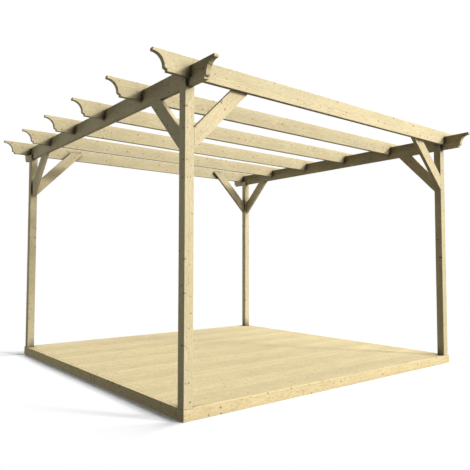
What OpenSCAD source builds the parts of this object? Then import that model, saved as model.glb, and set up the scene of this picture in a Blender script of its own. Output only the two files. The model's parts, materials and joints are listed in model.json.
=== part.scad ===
// Timber pergola standing on a square boarded deck.
// Four posts carry two beams in slotted tops. Six rafters cross the beams in
// half laps. Beams and rafters end in a scroll of cove and quarter round.
// X runs along the rafters, Y along the beams, Z up from the ground.
// The origin is on the ground, midway between the four posts.

/* [Deck] */
// Width of the deck along the rafters
deck_w = 3600; // [2400:10:4800]
// Depth of the deck along the beams
deck_d = 3600; // [2400:10:4800]
// Height of the rim boards, which is the height of the deck
rim_h = 88; // [70:1:160]
// Thickness of the rim boards
rim_t = 28; // [20:1:45]
// Width of one deck board
board_w = 124.5; // [90:0.5:150]
// Thickness of one deck board
board_t = 28; // [18:1:40]
// Gap between two deck boards
board_gap = 2; // [1:0.5:8]
// Thickness of one joist
joist_t = 45; // [35:1:60]

/* [Posts] */
// Side of the square posts
post = 80; // [70:1:120]
// Clear height from the deck to the underside of the rafters
head_h = 2392; // [2100:1:2700]
// Deck left clear beyond the posts at the right and the back
deck_margin = 36; // [0:1:120]

/* [Roof timbers] */
// Thickness of the beams and rafters
timber_t = 40; // [32:1:48]
// Height of the beams and rafters
timber_h = 148; // [142:1:200]
// Drop from the underside of the rafters to the underside of the beams
beam_drop = 54; // [30:1:70]
// Reach of the rafters beyond the posts
rafter_reach = 297; // [200:1:400]
// Reach of the beams beyond the posts
beam_reach = 326; // [240:1:450]
// Side clearance in the laps and the post slots
lap_clear = 0.5; // [0.2:0.1:2]

/* [Scroll ends] */
// Height of the plain tip
tip_h = 23; // [10:1:28]
// Flat on the underside of the tip
tip_flat = 8; // [0:1:20]
// Radius of the cove
cove_r = 88; // [60:1:90]
// Radius of the quarter round below the cove
round_r = 18; // [10:1:22]
// Width of the step between the quarter round and the heel
heel_step = 4; // [2:1:10]

/* [Braces] */
// Width of the braces across their length
brace_w = 116; // [80:1:140]
// Thickness of the braces
brace_t = 40; // [30:1:60]
// Drop from the underside of the rafters to the feet of their braces
rafter_brace_drop = 514; // [400:1:700]
// Drop from the underside of the beams to the feet of their braces
beam_brace_drop = 482; // [400:1:700]

/* [Hidden] */

// Pieces of a kind, as many as the list above names
rafter_count = 6;
joist_count = 10;

// Levels above the ground
deck_z = rim_h;
rafter_z = deck_z + head_h;
beam_z = rafter_z - beam_drop;
beam_top = beam_z + timber_h;

// Depth of each half lap, shared between beam and rafter
lap_d = (beam_top - rafter_z) / 2;

// Outer faces of the posts, which stand round the origin
span_x = deck_w - deck_margin;
span_y = deck_d - deck_margin;
half_x = span_x / 2;
half_y = span_y / 2;

// Edges of the deck, flush with the posts at the left and the front
deck_x0 = -half_x;
deck_y0 = -half_y;

// Centre lines of the beams, in the middle of the posts
beam_x = half_x - post / 2;

// The outer rafters lie against the outer faces of the posts
rafter_y0 = -half_y - timber_t;
rafter_pitch = (span_y + timber_t) / (rafter_count - 1);

slot_w = timber_t + 2 * lap_clear;
brace_rise = brace_w * sqrt(2);

// Space inside the rim
inner_w = deck_w - 2 * rim_t;
inner_d = deck_d - 2 * rim_t;
joist_h = rim_h - board_t;
joist_pitch = (inner_w - joist_t) / (joist_count - 1);
board_pitch = board_w + board_gap;
board_rows = floor((inner_d - board_gap) / board_pitch);
last_strip = inner_d - board_gap - board_rows * board_pitch - board_gap;
// Narrowest strip worth ripping to close the last row
strip_min = 20;

// Spare length of cutting shapes past the faces they cut
over = 1;
$fn = 96;

pine = [0.89, 0.82, 0.62];
pine_dark = [0.80, 0.72, 0.53];

// Waste below the scroll at one end: the tip is at the origin, the top edge
// at y = 0 and the timber runs to the right.
module scroll_waste() {
    cove_y = -tip_h - cove_r;
    round_x = tip_flat + cove_r + round_r;
    translate([-over, cove_y])
        square([tip_flat + over, cove_r]);
    translate([tip_flat, cove_y])
        intersection() {
            circle(cove_r);
            square(cove_r);
        }
    difference() {
        translate([-over, cove_y - round_r])
            square([round_x + over, round_r]);
        translate([round_x, cove_y])
            circle(round_r);
    }
    translate([-over, -timber_h - over])
        square([round_x + heel_step + over, timber_h + over + cove_y - round_r]);
}

// Side view of a beam or rafter, centred on x = 0 with its top at y = 0
module timber_outline(length) {
    difference() {
        translate([-length / 2, -timber_h])
            square([length, timber_h]);
        for (side = [0, 1])
            mirror([side, 0])
                translate([-length / 2, 0])
                    scroll_waste();
    }
}

// Post with the slot that holds the beam, standing with its outer corner at
// (sx, sy) times the half spans
module post_at(sx, sy) {
    color(pine)
        translate([sx * (half_x - post / 2), sy * (half_y - post / 2), deck_z])
            difference() {
                translate([-post / 2, -post / 2, 0])
                    cube([post, post, head_h]);
                translate([-slot_w / 2, -post / 2 - over, head_h - beam_drop])
                    cube([slot_w, post + 2 * over, beam_drop + over]);
            }
}

// Beam along Y, notched on top for every rafter
module beam_at(sx) {
    color(pine)
        translate([sx * beam_x, 0, 0])
            difference() {
                translate([-timber_t / 2, 0, beam_top])
                    rotate([90, 0, 90])
                        linear_extrude(timber_t)
                            timber_outline(span_y + 2 * beam_reach);
                for (i = [0 : rafter_count - 1])
                    translate([
                        -timber_t / 2 - over,
                        rafter_y0 + i * rafter_pitch - lap_clear,
                        beam_top - lap_d
                    ])
                        cube([timber_t + 2 * over, slot_w, lap_d + over]);
            }
}

// Rafter along X, notched underneath for both beams
module rafter_at(i) {
    color(pine)
        translate([0, rafter_y0 + i * rafter_pitch, rafter_z])
            difference() {
                translate([0, timber_t, timber_h])
                    rotate([90, 0, 0])
                        linear_extrude(timber_t)
                            timber_outline(span_x + 2 * rafter_reach);
                for (sx = [-1, 1])
                    translate([sx * beam_x - slot_w / 2, -over, -over])
                        cube([slot_w, timber_t + 2 * over, lap_d + over]);
            }
}

// Side view of a brace that climbs at 45 degrees from its foot at the origin
module brace_outline(rise) {
    polygon([
        [0, 0],
        [0, brace_rise],
        [rise - brace_rise, rise],
        [rise, rise]
    ]);
}

// Brace along X, flush with the outer face of its post. It laps the inside of
// the outer rafter and is cut level with the top of the beams.
module rafter_brace_at(sx, sy) {
    foot_z = rafter_z - rafter_brace_drop;
    color(pine)
        translate([sx * (half_x - post), sy * half_y, foot_z])
            mirror([sx > 0 ? 1 : 0, 0, 0])
                mirror([0, sy > 0 ? 1 : 0, 0])
                    translate([0, brace_t, 0])
                        rotate([90, 0, 0])
                            linear_extrude(brace_t)
                                brace_outline(beam_top - foot_z);
}

// Brace along Y in the plane of the beam, cut level under it
module beam_brace_at(sx, sy) {
    color(pine)
        translate([sx * beam_x - brace_t / 2, sy * (half_y - post), beam_z - beam_brace_drop])
            mirror([0, sy > 0 ? 1 : 0, 0])
                rotate([90, 0, 90])
                    linear_extrude(brace_t)
                        brace_outline(beam_brace_drop);
}

// Rim boards: the front and back run past the ends of the other two
module rim_along_x(y) {
    color(pine)
        translate([deck_x0, y, 0])
            cube([deck_w, rim_t, rim_h]);
}

module rim_along_y(x) {
    color(pine)
        translate([x, deck_y0 + rim_t, 0])
            cube([rim_t, inner_d, rim_h]);
}

// Joist along Y, number i from the left rim
module joist_at(i) {
    color(pine_dark)
        translate([deck_x0 + rim_t + i * joist_pitch, deck_y0 + rim_t, 0])
            cube([joist_t, inner_d, joist_h]);
}

// One deck board along X, its front edge at distance y inside the rim
module board(y, width) {
    translate([deck_x0 + rim_t, deck_y0 + rim_t + y, joist_h])
        cube([inner_w, width, board_t]);
}

module deck_boards() {
    color(pine) {
        for (row = [0 : board_rows - 1])
            board(board_gap + row * board_pitch, board_w);
        if (last_strip > strip_min)
            board(board_gap + board_rows * board_pitch, last_strip);
    }
}

post_at(-1, -1);  // post_front_left
post_at(1, -1);  // post_front_right
post_at(-1, 1);  // post_back_left
post_at(1, 1);  // post_back_right
beam_at(-1);  // beam_left
beam_at(1);  // beam_right
rafter_at(0);  // rafter_1
rafter_at(1);  // rafter_2
rafter_at(2);  // rafter_3
rafter_at(3);  // rafter_4
rafter_at(4);  // rafter_5
rafter_at(5);  // rafter_6
rafter_brace_at(-1, -1);  // rafter_brace_front_left
rafter_brace_at(1, -1);  // rafter_brace_front_right
rafter_brace_at(-1, 1);  // rafter_brace_back_left
rafter_brace_at(1, 1);  // rafter_brace_back_right
beam_brace_at(-1, -1);  // beam_brace_front_left
beam_brace_at(1, -1);  // beam_brace_front_right
beam_brace_at(-1, 1);  // beam_brace_back_left
beam_brace_at(1, 1);  // beam_brace_back_right
rim_along_x(deck_y0);  // rim_front
rim_along_x(deck_y0 + deck_d - rim_t);  // rim_back
rim_along_y(deck_x0);  // rim_left
rim_along_y(deck_x0 + deck_w - rim_t);  // rim_right
joist_at(0);  // joist_1
joist_at(1);  // joist_2
joist_at(2);  // joist_3
joist_at(3);  // joist_4
joist_at(4);  // joist_5
joist_at(5);  // joist_6
joist_at(6);  // joist_7
joist_at(7);  // joist_8
joist_at(8);  // joist_9
joist_at(9);  // joist_10
deck_boards();
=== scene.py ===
"""Looks of a timber pergola on a boarded deck: planed, pressure treated pine."""

import json
import math
import random
from collections import namedtuple

import bmesh
import bpy
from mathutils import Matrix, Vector


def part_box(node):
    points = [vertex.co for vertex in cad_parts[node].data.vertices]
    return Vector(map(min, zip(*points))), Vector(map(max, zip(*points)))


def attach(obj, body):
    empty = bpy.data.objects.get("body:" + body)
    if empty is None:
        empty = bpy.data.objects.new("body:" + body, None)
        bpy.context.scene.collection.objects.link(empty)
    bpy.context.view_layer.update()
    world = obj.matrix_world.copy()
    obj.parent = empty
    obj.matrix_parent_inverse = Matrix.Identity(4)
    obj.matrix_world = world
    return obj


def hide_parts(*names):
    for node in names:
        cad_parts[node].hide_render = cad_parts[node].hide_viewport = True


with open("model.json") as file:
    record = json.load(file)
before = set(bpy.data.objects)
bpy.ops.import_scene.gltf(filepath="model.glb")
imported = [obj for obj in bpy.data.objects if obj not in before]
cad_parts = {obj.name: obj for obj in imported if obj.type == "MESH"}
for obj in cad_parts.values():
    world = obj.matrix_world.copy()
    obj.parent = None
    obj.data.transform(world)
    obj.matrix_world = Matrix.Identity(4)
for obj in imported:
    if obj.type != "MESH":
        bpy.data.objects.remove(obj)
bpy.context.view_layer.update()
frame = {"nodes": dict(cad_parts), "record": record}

SEED = 7

X_AXIS = Vector((1, 0, 0))
Y_AXIS = Vector((0, 1, 0))
Z_AXIS = Vector((0, 0, 1))
WHITE = (1.0, 1.0, 1.0, 1.0)

# Camera of the photograph, in metres and degrees
IMAGE_SIZE = 470
CAMERA_PLACE = (-3.8576, -4.9463, 1.1389)
CAMERA_HEADING = 38.78
CAMERA_RISE = 2.94
CAMERA_ROLL = -0.06
FOCAL_PIXELS = 523.38
SENSOR_WIDTH = 36.0

# Softboxes: heading right of the front and height above the horizon in degrees,
# distance and width in metres, the light that reaches the point they face and its
# colour, how often surfaces pass it on, and whether it shows as a sheen
Softbox = namedtuple("Softbox", "heading height distance width light colour bounces sheen")
PLAIN = (1.0, 1.0, 1.0)
COOL = (0.90, 0.96, 1.0)
SOFTBOXES = {
    "core": Softbox(33.0, 22.0, 48.0, 4.0, 1.08, PLAIN, 0, True),
    "key": Softbox(33.0, 23.0, 48.0, 12.0, 1.31, PLAIN, 4, True),
    "front": Softbox(10.0, 28.0, 20.0, 8.0, 0.55, PLAIN, 4, True),
    "low": Softbox(10.0, 7.5, 13.5, 3.0, 0.77, PLAIN, 4, True),
    "top": Softbox(73.0, 58.0, 13.0, 8.0, 2.70, PLAIN, 0, True),
    "back": Softbox(178.0, 7.0, 14.0, 4.0, 2.2, PLAIN, 0, False),
    "left": Softbox(-137.0, 6.0, 10.0, 5.0, 0.54, COOL, 0, False),
}
LAMP_AIM = Vector((0.0, 0.0, 1.2))

# Cool panel close to the left side
FILL_PLACE = (-3.4, -0.2, 1.4)
FILL_SIZE = (4.4, 2.0)
FILL_POWER = 8.0

# The floor shows its shading near the deck and turns plain white further out. It is dark
# to the light that it passes on.
FLOOR_HALF = 60.0
FLOOR_DROP = 0.0005
SHADE_REACH = (0.15, 0.9)
FLOOR_COLOUR = (0.95, 0.95, 0.95, 1.0)
FLOOR_GLOW = 0.05
FLOOR_BOUNCE = (0.06, 0.06, 0.06, 1.0)

# Points of a solid that lie this close are joined, and so are faces this level
MERGE_GAP = 1e-5
FLAT_ANGLE = math.radians(1)

# Eased edges of planed timber: edges over the first angle are eased, and those over the
# second are then still shaded sharp
EASE = 0.0025
EASE_STEPS = 2
EASE_PROFILE = 0.5
SHARP_ANGLE = math.radians(30)
SMOOTH_ANGLE = math.radians(50)

# A face is end grain where over this share of its normal lies along the grain
END_LEAN = 0.6

# Where a board was cut: how far its tree's pith lies aside and behind, in half widths of
# the board, and how far along the trunk it comes from, in metres either way
PITH_ASIDE = 0.8
PITH_BEHIND = (1.3, 2.4)
TRUNK_REACH = 40

# Wood is laid out in metres along, across and through its tree. Waves say how often a
# noise comes in a metre each way, and it lies about its middle value.
NOISE_MIDDLE = 0.5

# Growth rings: the wander of the pith, the width of a ring, its waver in rings, its bulge
# round a knot, and where in a ring late wood rises and falls, from none to full
PITH_WAVES = (0.8, 2.5, 2.5)
PITH_WANDER = 0.07
RING = 0.0034
RING_WAVES = (3.0, 30.0, 30.0)
RING_WAVER = 1.6
RING_BULGE = 0.009
LATE_RISE = (0.35, 0.92)
LATE_FALL = (1.0, 0.93)

# Knots: spacing along the trunk and, in radians, round it, the radius of a full one and of
# one too small to show, its share by chance, and its growth by the distance from the pith
KNOT_STEP = 0.125
KNOT_TURN = 0.65
KNOT_RADIUS = 0.0072
KNOT_LEAST = 0.0001
KNOT_SIZES = (0.35, 1.0)
KNOT_REACH = (0.0, 0.08)
KNOT_GROWTH = (0.5, 1.1)

# How dark a knot is, by chance, and how ragged its edge
KNOT_DARKNESS = (0.55, 0.95)
RAGGED_WAVES = (170.0, 170.0, 170.0)
RAGGED_DEPTH = 0.003

# Parts of a knot, with the distance from its middle, in radii, where each starts and is full
Knot = namedtuple("Knot", "core rim halo rings")
KNOT_CORE = (1.1, 0.7)
KNOT_RIM_OUTSIDE = (1.3, 1.0)
KNOT_RIM_INSIDE = (0.6, 0.95)
KNOT_HALO = (3.0, 0.6)

# Rings inside a knot: how many in a radius, where each turns dark, and how dark
KNOT_RINGS = 2.7
KNOT_RING = (0.2, 0.9)
KNOT_RING_DARKNESS = (0.0, 0.5)

# Drying cracks in end grain: waves along the trunk and round it, how near the noise's middle
# a crack starts and is full, and how far from the pith
CHECK_WAVES = (5.0, 2.6, 1.0)
CHECK_DETAIL = 1.0
CHECK_WIDTH = (0.010, 0.002)
CHECK_CLEAR = (0.004, 0.02)

# Layers of pattern: waves along the grain and across it, their detail, where the layer
# starts and is full, and its least and most strength
Layer = namedtuple("Layer", "along across detail start full least most")
FIBRES = Layer(14.0, 900.0, 2.0, 0.50, 0.80, 0.0, 0.30)
STREAKS = Layer(1.6, 90.0, 3.0, 0.45, 0.75, 0.0, 0.45)
FLECKS = Layer(42.0, 130.0, 2.0, 0.56, 0.74, 0.0, 1.0)
PATCHES = Layer(1.3, 8.0, 2.0, 0.45, 0.75, 0.0, 0.40)
BLOTCHES = Layer(3.2, 6.0, 3.0, 0.30, 0.70, 0.96, 1.04)
MOTTLE = Layer(32.0, 95.0, 3.0, 0.30, 0.70, 0.93, 1.05)

# How far each mark changes the colour
RING_TINT = 0.55
HALO_TINT = 0.20
RIM_TINT = 0.35
END_TINT = 0.30
EASE_TINT = 0.18
CHECK_TINT = 0.75

# Painted shade in the joints and corners, darker where nearby faces close a point in: how far
# from a point other faces count, how many rays look for them, and how open the point is
# where the painted shade starts and is full
PAINTED_SHADE_REACH = 0.22
PAINTED_SHADE_RAYS = 8
PAINTED_SHADE_OPEN = (0.95, 0.45)

# Relief and gloss of planed wood
RING_RELIEF = 0.5
FIBRE_RELIEF = 0.5
RIM_RELIEF = 0.6
RELIEF_DEPTH = 0.0006
RELIEF_STRENGTH = 0.35
RING_GLOSS = 0.3
ROUGHNESS = (0.62, 0.84)
SPECULAR = 0.25

# Colours of pine, from the early wood of a ring to the bark round a knot, and the dark of
# cracks and of the painted shade in the corners
Pine = namedtuple("Pine", "early late treated fleck knot bark")
PINE = Pine(
    early=(0.715, 0.612, 0.372),
    late=(0.575, 0.452, 0.235),
    treated=(0.625, 0.555, 0.345),
    fleck=(0.46, 0.34, 0.175),
    knot=(0.27, 0.15, 0.066),
    bark=(0.125, 0.068, 0.03),
)
CRACK_AND_SHADE_COLOUR = (0.06, 0.047, 0.03, 1.0)

# Each timber's tint, the share of its knots that show, the strength of its flecks and
# the strength of the painted shade in its joints and corners
Timber = namedtuple("Timber", "tint knots flecks grime")
TIMBERS = {
    "frame_timber": Timber((1.01, 1.01, 1.01), 0.75, 0.54, 0.88),
    "brace_timber": Timber((1.01, 1.01, 1.01), 0.75, 0.54, 0.45),
    "rim_timber": Timber((1.14, 1.09, 1.0), 0.8, 0.46, 0.88),
    "deck_timber": Timber((1.01, 1.0, 0.95), 0.35, 0.72, 0.88),
    "joist_timber": Timber((0.93, 0.93, 0.90), 0.75, 0.42, 0.88),
}

# Pieces painted paler or darker than the rest, in twentieths, as painted light and shade
# where more or less light reaches them, and how far each board strays by chance
TONE_STEP = 0.05
TONE_SPREAD = 0.3
PAINTED_LIGHT_TONES = {
    "post_front_left": 1.6,
    "post_front_right": -0.9,
    "post_back_left": -3.4,
    "post_back_right": 1.6,
    "rafter_brace_front_left": 2.0,
    "rafter_brace_front_right": 0.3,
    "rafter_brace_back_left": -3.0,
    "rafter_brace_back_right": -1.8,
    "rafter_1": 0.8,
    "rafter_2": 1.0,
    "rafter_3": 0.6,
    "rafter_5": -1.8,
    "rafter_6": -2.7,
    "rim_front": 1.1,
}

# Tones of the deck boards, which come in packs of four: two darker, two paler
PACK_TONES = (-1.25, -1.0, 0.1, 0.65)

# Screws: heads with a six lobed recess, standing a little proud of the wood
HEAD_RADIUS = 0.0042
HEAD_RISE = 0.0009
HEAD_SINK = 0.0008
HEAD_BEVEL = 0.0006
RECESS_RADII = (0.0023, 0.0016)
RECESS_FLOOR = 0.0002
HEAD_SIDES = 12

# Places of the screws: from a board's edge, up the rim and along it, from a brace's end,
# in its lap from the end and up from its middle, and from the middle of a post
BOARD_EDGE = 0.022
RIM_SCREW_HEIGHTS = (0.018, 0.044)
RIM_SCREW_STEP = 0.5
BRACE_END = 0.085
LAP_STEPS = (0.11, 0.19)
LAP_SHIFT = 0.04
CHEEK_OFFSET = 0.02

# Coated steel: two shades of the coat and where one turns into the other, the metal under
# it, and where the coat is worn
COATS = ((0.42, 0.33, 0.19, 1.0), (0.34, 0.26, 0.145, 1.0))
COAT_WAVES = (3.0, 3.0, 3.0)
COAT_CHANGE = (0.3, 0.7)
BARE_STEEL = (0.52, 0.50, 0.46, 1.0)
WEAR_WAVES = (900.0, 900.0, 900.0)
WEAR_DETAIL = 3.0
WEAR = (0.58, 0.70)
WORN_METALLIC = 0.9
STEEL_ROUGHNESS = (0.55, 0.35)

rng = random.Random(SEED)


class Graph:
    """Short calls that build a node tree."""

    def __init__(self, tree):
        self.tree = tree
        tree.nodes.clear()

    def feed(self, socket, value):
        """Links a socket, or sets its value."""
        if isinstance(value, bpy.types.NodeSocket):
            self.tree.links.new(value, socket)
        else:
            socket.default_value = value

    def node(self, kind, inputs=(), **settings):
        """Adds a node with its settings and inputs."""
        made = self.tree.nodes.new(kind)
        for key, value in settings.items():
            setattr(made, key, value)
        for key, value in dict(inputs).items():
            self.feed(made.inputs[key], value)
        return made

    def attribute(self, name, output="Fac"):
        return self.node("ShaderNodeAttribute", attribute_name=name).outputs[output]

    def math(self, operation, *values):
        inputs = dict(enumerate(values))
        return self.node("ShaderNodeMath", inputs, operation=operation).outputs[0]

    def vector(self, operation, *values):
        inputs = dict(enumerate(values))
        return self.node("ShaderNodeVectorMath", inputs, operation=operation).outputs[0]

    def split(self, vector):
        return self.node("ShaderNodeSeparateXYZ", {0: vector}).outputs[:3]

    def join(self, x, y, z):
        return self.node("ShaderNodeCombineXYZ", {0: x, 1: y, 2: z}).outputs[0]

    def length(self, first, second):
        squares = [self.math("MULTIPLY", value, value) for value in (first, second)]
        return self.math("SQRT", self.math("ADD", *squares))

    def noise(self, vector, waves, detail=2.0, output="Fac"):
        """Noise with so many waves for each unit of the vector."""
        inputs = {"Vector": self.vector("MULTIPLY", vector, waves), "Scale": 1.0, "Detail": detail}
        return self.node("ShaderNodeTexNoise", inputs).outputs[output]

    def smooth(self, value, low, high, out_low=0.0, out_high=1.0):
        """Takes a value from one range to another in a smooth step."""
        inputs = {0: value, 1: low, 2: high, 3: out_low, 4: out_high}
        made = self.node("ShaderNodeMapRange", inputs, interpolation_type="SMOOTHSTEP")
        return made.outputs[0]

    def waves(self, wood, layer):
        """Noise of a layer, drawn out along the grain."""
        return self.noise(wood, (layer.along, layer.across, layer.across), layer.detail)

    def strength(self, waves, layer):
        """Strength of a layer, by its noise."""
        return self.smooth(waves, layer.start, layer.full, layer.least, layer.most)

    def layer(self, wood, layer):
        """Strength of a layer at a place in the wood."""
        return self.strength(self.waves(wood, layer), layer)

    def mix(self, factor, first, second, blend="MIX"):
        """Mix of two colours. Their sockets come after those for numbers and vectors."""
        made = self.node("ShaderNodeMix", data_type="RGBA", blend_type=blend)
        self.feed(made.inputs[0], factor)
        self.feed(made.inputs[6], first)
        self.feed(made.inputs[7], second)
        return made.outputs[2]

    def tint(self, mark, share, colour, target):
        """Takes a colour towards another where a mark is, up to a share."""
        return self.mix(self.math("MULTIPLY", mark, share), colour, target)

    def shade(self, colour, value):
        """Colour times one value."""
        return self.mix(1.0, colour, self.join(value, value, value), "MULTIPLY")

    def shown(self):
        """1 on rays from the camera, mirrors and glass, 0 on the light that surfaces pass on."""
        path = self.node("ShaderNodeLightPath").outputs
        seen = self.math("MAXIMUM", path["Is Camera Ray"], path["Is Glossy Ray"])
        return self.math("MAXIMUM", seen, path["Is Transmission Ray"])


def new_material(name):
    """Empty material and the graph that fills it."""
    material = bpy.data.materials.new(name)
    material.use_nodes = True
    return material, Graph(material.node_tree)


def trunk(g):
    """Place in the tree: the point, the length along it, and the distance and angle
    from a pith that wanders."""
    wood = g.attribute("wood", "Vector")
    wander = g.noise(wood, PITH_WAVES, output="Color")
    wander = g.vector("SUBTRACT", wander, (NOISE_MIDDLE, NOISE_MIDDLE, NOISE_MIDDLE))
    wander = g.vector("MULTIPLY", wander, (0.0, PITH_WANDER, PITH_WANDER))
    along, across, through = g.split(g.vector("ADD", wood, wander))
    return wood, along, g.length(across, through), g.math("ARCTAN2", through, across)


def knots(g, wood, along, radius, turn, share):
    """The parts of the nearest knot. Branches grow out from the pith, so they are laid
    out by length and angle."""
    place_u = g.math("DIVIDE", along, KNOT_STEP)
    place_v = g.math("DIVIDE", turn, KNOT_TURN)
    cells = g.node("ShaderNodeTexVoronoi", {"Vector": g.join(place_u, place_v, 0.0), "Scale": 1.0},
                   voronoi_dimensions="2D")
    centre = g.split(cells.outputs["Position"])
    dice = g.split(cells.outputs["Color"])
    off_u = g.math("MULTIPLY", g.math("SUBTRACT", place_u, centre[0]), KNOT_STEP)
    off_v = g.math("MULTIPLY", g.math("SUBTRACT", place_v, centre[1]), KNOT_TURN)
    distance = g.length(off_u, g.math("MULTIPLY", off_v, radius))
    ragged = g.math("SUBTRACT", g.noise(wood, RAGGED_WAVES), NOISE_MIDDLE)
    distance = g.math("ADD", distance, g.math("MULTIPLY", ragged, RAGGED_DEPTH))

    size = g.smooth(dice[0], 0.0, 1.0, *KNOT_SIZES)
    size = g.math("MULTIPLY", size, g.smooth(radius, *KNOT_REACH, *KNOT_GROWTH))
    size = g.math("MULTIPLY", size, g.math("LESS_THAN", dice[1], share))
    size = g.math("MAXIMUM", g.math("MULTIPLY", size, KNOT_RADIUS), KNOT_LEAST)
    near = g.math("DIVIDE", distance, size)

    dark = g.smooth(dice[2], 0.0, 1.0, *KNOT_DARKNESS)
    ring = g.math("FRACT", g.math("MULTIPLY", near, KNOT_RINGS))
    return Knot(
        core=g.math("MULTIPLY", g.smooth(near, *KNOT_CORE), dark),
        rim=g.math("MULTIPLY", g.smooth(near, *KNOT_RIM_OUTSIDE), g.smooth(near, *KNOT_RIM_INSIDE)),
        halo=g.smooth(near, *KNOT_HALO),
        rings=g.smooth(ring, *KNOT_RING, *KNOT_RING_DARKNESS),
    )


def late_wood(g, wood, radius, halo):
    """Dark part of each growth ring: the rings bulge round the knots."""
    bulge = g.math("MULTIPLY", halo, RING_BULGE)
    waver = g.math("MULTIPLY", g.noise(wood, RING_WAVES), RING_WAVER)
    phase = g.math("DIVIDE", g.math("ADD", radius, bulge), RING)
    ring = g.math("FRACT", g.math("ADD", phase, waver))
    return g.math("MULTIPLY", g.smooth(ring, *LATE_RISE), g.smooth(ring, *LATE_FALL))


def end_checks(g, along, radius, turn):
    """Fine drying cracks on end grain, running out from the pith."""
    wave = g.noise(g.join(along, turn, 0.0), CHECK_WAVES, CHECK_DETAIL)
    aside = g.math("ABSOLUTE", g.math("SUBTRACT", wave, NOISE_MIDDLE))
    crack = g.smooth(aside, *CHECK_WIDTH)
    crack = g.math("MULTIPLY", crack, g.smooth(radius, *CHECK_CLEAR))
    return g.math("MULTIPLY", crack, g.attribute("end"))


def tinted(tint):
    """Colours of pine under a timber's tint."""
    return Pine(*(tuple(c * t for c, t in zip(colour, tint)) + (1.0,) for colour in PINE))


def fresh_wood(g, wood, rings, fibre, knot, timber):
    """Colour of the planed wood: rings, fibres, streaks, flecks of resin, patches of
    treatment and knots. End grain is darker, eased edges are a little paler."""
    shades = tinted(timber.tint)
    colour = g.tint(rings, RING_TINT, shades.early, shades.late)
    colour = g.mix(g.strength(fibre, FIBRES), colour, shades.late)
    colour = g.mix(g.layer(wood, STREAKS), colour, shades.late)
    colour = g.tint(g.layer(wood, FLECKS), timber.flecks, colour, shades.fleck)
    colour = g.mix(g.layer(wood, PATCHES), colour, shades.treated)
    colour = g.tint(knot.halo, HALO_TINT, colour, shades.late)
    colour = g.mix(knot.core, colour, g.mix(knot.rings, shades.knot, shades.bark))
    colour = g.tint(knot.rim, RIM_TINT, colour, shades.bark)
    colour = g.tint(g.attribute("end"), END_TINT, colour, shades.late)
    return g.tint(g.attribute("ease"), EASE_TINT, colour, shades.early)


def worn_and_shaded_wood(g, wood, colour, checks, timber):
    """Cracks, blotches, the tone of the piece, which for some pieces is painted light and
    shade, and painted shade in the joints and corners.
    """
    colour = g.tint(checks, CHECK_TINT, colour, CRACK_AND_SHADE_COLOUR)
    blotches = g.math("MULTIPLY", g.layer(wood, BLOTCHES), g.layer(wood, MOTTLE))
    # Tone of the piece: painted light and shade for some frame pieces, the pack for deck boards, and
    # chance
    tone = g.math("ADD", g.math("MULTIPLY", g.attribute("tone"), TONE_STEP), 1.0)
    colour = g.shade(colour, g.math("MULTIPLY", blotches, tone))
    # Painted shade: the colour darkens where nearby faces close a point in
    corner = g.node("ShaderNodeAmbientOcclusion", {"Distance": PAINTED_SHADE_REACH}, samples=PAINTED_SHADE_RAYS)
    shade_in_corners = g.smooth(corner.outputs["AO"], *PAINTED_SHADE_OPEN, 0.0, timber.grime)
    return g.mix(shade_in_corners, colour, CRACK_AND_SHADE_COLOUR)


def relief(g, rings, fibre, knot, checks):
    """Rings and fibres stand up a little, the rims of knots and cracks are sunk."""
    height = g.math("MULTIPLY", rings, RING_RELIEF)
    height = g.math("ADD", height, g.math("MULTIPLY", fibre, FIBRE_RELIEF))
    height = g.math("SUBTRACT", height, g.math("MULTIPLY", knot.rim, RIM_RELIEF))
    height = g.math("SUBTRACT", height, checks)
    inputs = {"Height": height, "Strength": RELIEF_STRENGTH, "Distance": RELIEF_DEPTH}
    return g.node("ShaderNodeBump", inputs).outputs[0]


def pine(name, timber):
    """Planed, treated pine."""
    material, g = new_material(name)
    wood, along, radius, turn = trunk(g)
    knot = knots(g, wood, along, radius, turn, timber.knots)
    rings = late_wood(g, wood, radius, knot.halo)
    checks = end_checks(g, along, radius, turn)
    fibre = g.waves(wood, FIBRES)
    colour = fresh_wood(g, wood, rings, fibre, knot, timber)
    matt = g.math("ADD", g.math("MULTIPLY", rings, -RING_GLOSS), fibre)
    surface = g.node("ShaderNodeBsdfPrincipled", {
        "Base Color": worn_and_shaded_wood(g, wood, colour, checks, timber),
        "Roughness": g.smooth(matt, 0.0, 1.0, *ROUGHNESS),
        "Specular IOR Level": SPECULAR,
        "Normal": relief(g, rings, fibre, knot, checks),
    })
    g.node("ShaderNodeOutputMaterial", {0: surface.outputs[0]})
    return material


def coated_steel():
    """Tan coated screw heads, worn to the metal in places."""
    material, g = new_material("coated_steel")
    place = g.node("ShaderNodeTexCoord").outputs["Object"]
    wear = g.smooth(g.noise(place, WEAR_WAVES, WEAR_DETAIL), *WEAR)
    coat = g.mix(g.smooth(g.noise(place, COAT_WAVES), *COAT_CHANGE), *COATS)
    surface = g.node("ShaderNodeBsdfPrincipled", {
        "Base Color": g.mix(wear, coat, BARE_STEEL),
        "Metallic": g.math("MULTIPLY", wear, WORN_METALLIC),
        "Roughness": g.smooth(wear, 0.0, 1.0, *STEEL_ROUGHNESS),
    })
    g.node("ShaderNodeOutputMaterial", {0: surface.outputs[0]})
    return material


def grain_axes(node):
    """Direction of the grain and of the thickness of a piece, by its name."""
    kind = node.split("_")[0]
    rise_x = X_AXIS if node.endswith("left") else -X_AXIS
    rise_y = Y_AXIS if "front" in node else -Y_AXIS
    if node.startswith("rafter_brace"):
        return (rise_x + Z_AXIS).normalized(), Y_AXIS
    if node.startswith("beam_brace"):
        return (rise_y + Z_AXIS).normalized(), X_AXIS
    if kind == "post":
        return Z_AXIS, Y_AXIS
    if kind == "rafter" or node in ("rim_front", "rim_back"):
        return X_AXIS, Y_AXIS
    if kind == "deck":
        return X_AXIS, Z_AXIS
    return Y_AXIS, X_AXIS


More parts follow.
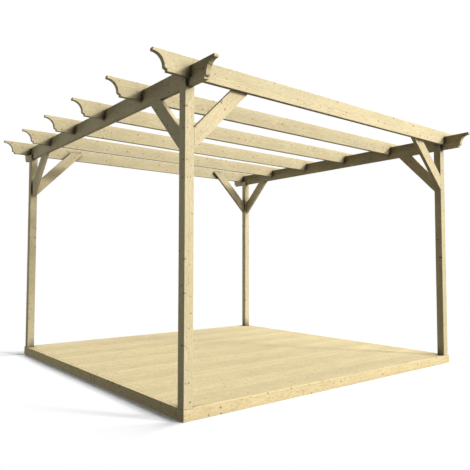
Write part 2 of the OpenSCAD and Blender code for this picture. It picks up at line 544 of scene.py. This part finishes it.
def solid(node):
    """Mesh of a CAD piece to work on, with its loose points joined."""
    bm = bmesh.new()
    bm.from_mesh(frame["nodes"][node].data)
    bmesh.ops.remove_doubles(bm, verts=bm.verts, dist=MERGE_GAP)
    return bm


def islands(bm):
    """Groups of vertices that hang together, from the front to the back."""
    left = set(bm.verts)
    groups = []
    for start in bm.verts:
        if start not in left:
            continue
        group = [start]
        left.discard(start)
        for vert in group:
            for edge in vert.link_edges:
                other = edge.other_vert(vert)
                if other in left:
                    left.discard(other)
                    group.append(other)
        groups.append(group)
    return sorted(groups, key=lambda group: min(vert.co.y for vert in group))


def add_piece(name, mesh, material):
    """Makes a mesh a piece of the object."""
    piece = bpy.data.objects.new(name, mesh)
    mesh.materials.append(material)
    bpy.context.scene.collection.objects.link(piece)
    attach(piece, "root")
    return piece


def ease_edges(bm, grain):
    """Rounds the outer edges, and marks the rounded faces and the end grain."""
    end = bm.faces.layers.float.new("end")
    ease = bm.faces.layers.float.new("ease")
    bmesh.ops.dissolve_limit(bm, angle_limit=FLAT_ANGLE, verts=bm.verts, edges=bm.edges)
    sharp = [e for e in bm.edges if e.is_convex and e.calc_face_angle(0) > SHARP_ANGLE]
    eased = bmesh.ops.bevel(bm, geom=sharp, offset=EASE, segments=EASE_STEPS,
                            profile=EASE_PROFILE, affect="EDGES", clamp_overlap=True)["faces"]
    for face in bm.faces:
        face[end] = 1.0 if abs(face.normal.dot(grain)) > END_LEAN else 0.0
        face.smooth = True
    for face in eased:
        face[ease] = 1.0


def tone_of(node, row):
    """Tone of a board, by its piece as painted light and shade, or by its place in a pack, and by
    chance.
    """
    tone = PACK_TONES[row % len(PACK_TONES)] if node == "deck_boards" else PAINTED_LIGHT_TONES.get(node, 0.0)
    return tone + rng.uniform(-TONE_SPREAD, TONE_SPREAD)


def cut_from_trees(bm, node, axes):
    """Gives each board the coordinates of the tree that it was cut from, and its tone."""
    wood = bm.verts.layers.float_vector.new("wood")
    tone = bm.verts.layers.float.new("tone")
    for row, group in enumerate(islands(bm)):
        spans = [[axis.dot(vert.co) for vert in group] for axis in axes]
        middles = [(min(span) + max(span)) / 2 for span in spans]
        half_width = (max(spans[1]) - min(spans[1])) / 2
        pith = (rng.uniform(-PITH_ASIDE, PITH_ASIDE) * half_width,
                rng.choice((-1, 1)) * rng.uniform(*PITH_BEHIND) * half_width)
        start = rng.uniform(-TRUNK_REACH, TRUNK_REACH)
        board_tone = tone_of(node, row)
        for i, vert in enumerate(group):
            vert[wood] = (spans[0][i] - middles[0] + start,
                          spans[1][i] - middles[1] - pith[0],
                          spans[2][i] - middles[2] - pith[1])
            vert[tone] = board_tone


def dress(node, slot):
    """Stands in for a CAD piece: the same solid, as eased and grained timber."""
    grain, through = grain_axes(node)
    bm = solid(node)
    ease_edges(bm, grain)
    cut_from_trees(bm, node, (grain, through.cross(grain), through))
    mesh = bpy.data.meshes.new(node + "_dressed")
    bm.to_mesh(mesh)
    bm.free()
    mesh.set_sharp_from_angle(angle=SMOOTH_ANGLE)
    piece = add_piece(node + "_dressed", mesh, MATERIALS[slot])
    piece.modifiers.new("even_normals", "WEIGHTED_NORMAL").keep_sharp = True
    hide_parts(node)


def screw_head(bm, place, facing):
    """One head: a bevelled disc with a six lobed recess, turned by chance."""
    side = facing.orthogonal().normalized()
    other = facing.cross(side)
    spin = rng.uniform(0, math.tau)

    def ring(radii, height):
        made = []
        for i in range(HEAD_SIDES):
            angle = spin + math.tau * i / HEAD_SIDES
            radius = radii[i % len(radii)]
            out = math.cos(angle) * side + math.sin(angle) * other
            made.append(bm.verts.new(place + radius * out + height * facing))
        return made

    rings = [
        ring((HEAD_RADIUS,), -HEAD_SINK),
        ring((HEAD_RADIUS,), HEAD_RISE - HEAD_BEVEL),
        ring((HEAD_RADIUS - HEAD_BEVEL,), HEAD_RISE),
        ring(RECESS_RADII, HEAD_RISE),
        ring(RECESS_RADII, RECESS_FLOOR),
    ]
    for low, high in zip(rings, rings[1:]):
        for i in range(HEAD_SIDES):
            j = (i + 1) % HEAD_SIDES
            bm.faces.new((low[i], low[j], high[j], high[i]))
    bm.faces.new(rings[-1])
    bm.faces.new(reversed(rings[0]))


def boxes(kind):
    """Lowest and highest corners of each piece of a kind."""
    return [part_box(node) for node in frame["nodes"] if node.startswith(kind)]


def middle(box, axis):
    """Middle of a box along an axis."""
    low, high = box
    return (low[axis] + high[axis]) / 2


def under(box, place):
    """Whether a screw head at a place would touch a piece that stands there."""
    low, high = box
    return all(low[i] - HEAD_RADIUS < place[i] < high[i] + HEAD_RADIUS for i in range(2))


def deck_screws():
    """Two screws where each board crosses a joist, none under a post."""
    posts = boxes("post")
    joists = boxes("joist")
    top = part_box("deck_boards")[1][2]
    bm = solid("deck_boards")
    rows = [[vert.co.y for vert in group] for group in islands(bm)]
    bm.free()
    for row in rows:
        for joist in joists:
            for y in (min(row) + BOARD_EDGE, max(row) - BOARD_EDGE):
                place = Vector((middle(joist, 0), y, top))
                if not any(under(post, place) for post in posts):
                    yield place, Z_AXIS


def rim_screws():
    """Pairs into the ends of the joists and the corners, and a row along each side."""
    front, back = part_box("rim_front"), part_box("rim_back")
    left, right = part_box("rim_left"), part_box("rim_right")
    for held in boxes("joist") + [left, right]:
        for z in RIM_SCREW_HEIGHTS:
            yield Vector((middle(held, 0), front[0][1], z)), -Y_AXIS
            yield Vector((middle(held, 0), back[1][1], z)), Y_AXIS
    start, length = left[0][1], left[1][1] - left[0][1]
    count = round(length / RIM_SCREW_STEP)
    for i in range(count):
        y = start + length * (i + 0.5) / count
        z = RIM_SCREW_HEIGHTS[i % len(RIM_SCREW_HEIGHTS)]
        yield Vector((left[0][0], y, z)), -X_AXIS
        yield Vector((right[1][0], y, z)), X_AXIS


def brace_screws():
    """One through the underside at each end. A rafter brace also has two in its lap."""
    for node in frame["nodes"]:
        if "brace" not in node:
            continue
        low, high = (Vector(corner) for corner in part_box(node))
        grain, thick = grain_axes(node)
        centre = (low + high) / 2
        half_length = (high.z - low.z) / 2 * math.sqrt(2)
        below = (Vector((grain.x, grain.y, 0)).normalized() - Z_AXIS).normalized()
        for end in (-1, 1):
            yield centre + end * (half_length - BRACE_END) * grain, below
        if node.startswith("rafter"):
            inward = -thick if "back" in node else thick
            inner = centre + inward * (high.y - low.y) / 2
            for step in LAP_STEPS:
                yield inner + grain * (half_length - step) - below * LAP_SHIFT, inward


def cheek_screws():
    """Two through the outer cheek of each slotted post."""
    slot_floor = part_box("beam_left")[0][2]
    for node in frame["nodes"]:
        if node.startswith("post"):
            low, high = (Vector(corner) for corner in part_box(node))
            x, outward = (low.x, -X_AXIS) if node.endswith("left") else (high.x, X_AXIS)
            for side in (-1, 1):
                y = (low.y + high.y) / 2 + side * CHEEK_OFFSET
                yield Vector((x, y, (slot_floor + high.z) / 2)), outward


def make_screws(name, places):
    """One mesh of all the heads in a group of screws."""
    bm = bmesh.new()
    for place, facing in places:
        screw_head(bm, place, facing)
    mesh = bpy.data.meshes.new(name)
    bm.to_mesh(mesh)
    bm.free()
    add_piece(name, mesh, STEEL)


def floor_material():
    """White ground that keeps the shadow near the deck and sends little light back up."""
    material, g = new_material("pale_floor")
    low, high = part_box("deck_boards")
    place = g.split(g.node("ShaderNodeTexCoord").outputs["Object"])
    beyond = []
    for i in range(2):
        offset = g.math("ABSOLUTE", g.math("SUBTRACT", place[i], middle((low, high), i)))
        beyond.append(g.math("SUBTRACT", offset, (high[i] - low[i]) / 2))
    far = g.smooth(g.math("MAXIMUM", *beyond), *SHADE_REACH)
    bright = g.node("ShaderNodeBsdfDiffuse", {"Color": FLOOR_COLOUR})
    glow = g.node("ShaderNodeEmission", {"Color": WHITE, "Strength": FLOOR_GLOW})
    lit = g.node("ShaderNodeAddShader", {0: bright.outputs[0], 1: glow.outputs[0]})
    white = g.node("ShaderNodeEmission", {"Color": WHITE, "Strength": 1.0})
    ground = g.node("ShaderNodeMixShader", {0: far, 1: lit.outputs[0], 2: white.outputs[0]})
    dull = g.node("ShaderNodeBsdfDiffuse", {"Color": FLOOR_BOUNCE})
    both = g.node("ShaderNodeMixShader", {0: g.shown(), 1: dull.outputs[0], 2: ground.outputs[0]})
    g.node("ShaderNodeOutputMaterial", {0: both.outputs[0]})
    return material


def make_floor():
    """Level ground. It casts no shadow, so the timber's painted shade doesn't count it as a corner.
    """
    mesh = bpy.data.meshes.new("floor")
    corners = [(x * FLOOR_HALF, y * FLOOR_HALF, 0) for x, y in ((-1, -1), (1, -1), (1, 1), (-1, 1))]
    mesh.from_pydata(corners, [], [(0, 1, 2, 3)])
    mesh.materials.append(floor_material())
    floor = bpy.data.objects.new("floor", mesh)
    floor.location.z = -FLOOR_DROP
    floor.visible_shadow = False
    bpy.context.scene.collection.objects.link(floor)


def make_world():
    """White where it is seen, and no light of its own."""
    world = bpy.data.worlds.new("studio")
    bpy.context.scene.world = world
    world.use_nodes = True
    g = Graph(world.node_tree)
    backdrop = g.node("ShaderNodeBackground", {0: WHITE, 1: 1.0})
    unlit = g.node("ShaderNodeBackground", {0: WHITE, 1: 0.0})
    both = g.node("ShaderNodeMixShader", {0: g.shown(), 1: unlit.outputs[0], 2: backdrop.outputs[0]})
    g.node("ShaderNodeOutputWorld", {0: both.outputs[0]})


def add_lamp(name, data, place, turn, sheen=True):
    """Lamp that the camera doesn't see."""
    lamp = bpy.data.objects.new(name, data)
    lamp.location = place
    lamp.rotation_euler = turn
    lamp.visible_camera = False
    lamp.visible_glossy = sheen
    bpy.context.scene.collection.objects.link(lamp)


def make_softbox(name, box):
    """Round panel that faces the object from a heading and a height."""
    panel = bpy.data.lights.new(name, "AREA")
    panel.shape = "DISK"
    panel.size = box.width
    panel.energy = box.light * math.pi * box.distance ** 2
    panel.color = box.colour
    panel.cycles.max_bounces = box.bounces
    turn, rise = math.radians(box.heading), math.radians(box.height)
    away = Vector((math.sin(turn) * math.cos(rise), -math.cos(turn) * math.cos(rise), math.sin(rise)))
    add_lamp(name, panel, LAMP_AIM + box.distance * away, (math.pi / 2 - rise, 0, turn), box.sheen)


def make_fill():
    """Panel that faces the left side from close by."""
    panel = bpy.data.lights.new("fill", "AREA")
    panel.shape = "RECTANGLE"
    panel.size, panel.size_y = FILL_SIZE
    panel.energy = FILL_POWER
    panel.color = COOL
    add_lamp("fill", panel, FILL_PLACE, (math.pi / 2, 0, -math.pi / 2))


def make_camera():
    """Camera that stands where the photograph's did."""
    data = bpy.data.cameras.new("camera")
    data.sensor_width = SENSOR_WIDTH
    data.lens = SENSOR_WIDTH * FOCAL_PIXELS / IMAGE_SIZE
    camera = bpy.data.objects.new("camera", data)
    camera.location = CAMERA_PLACE
    camera.rotation_euler = (math.radians(90 + CAMERA_RISE), math.radians(CAMERA_ROLL),
                             math.radians(-CAMERA_HEADING))
    bpy.context.scene.collection.objects.link(camera)
    bpy.context.scene.camera = camera


MATERIALS = {slot: pine(slot + "_pine", timber) for slot, timber in TIMBERS.items()}
STEEL = coated_steel()

for part in frame["record"]["subparts"]:
    dress(part["node"], part["material_slot"])
make_screws("deck_screws", deck_screws())
make_screws("rim_screws", rim_screws())
make_screws("brace_screws", brace_screws())
make_screws("post_screws", cheek_screws())

make_floor()
make_world()
for box_name, softbox in SOFTBOXES.items():
    make_softbox(box_name, softbox)
make_fill()
make_camera()
bpy.context.scene.view_settings.view_transform = "Standard"
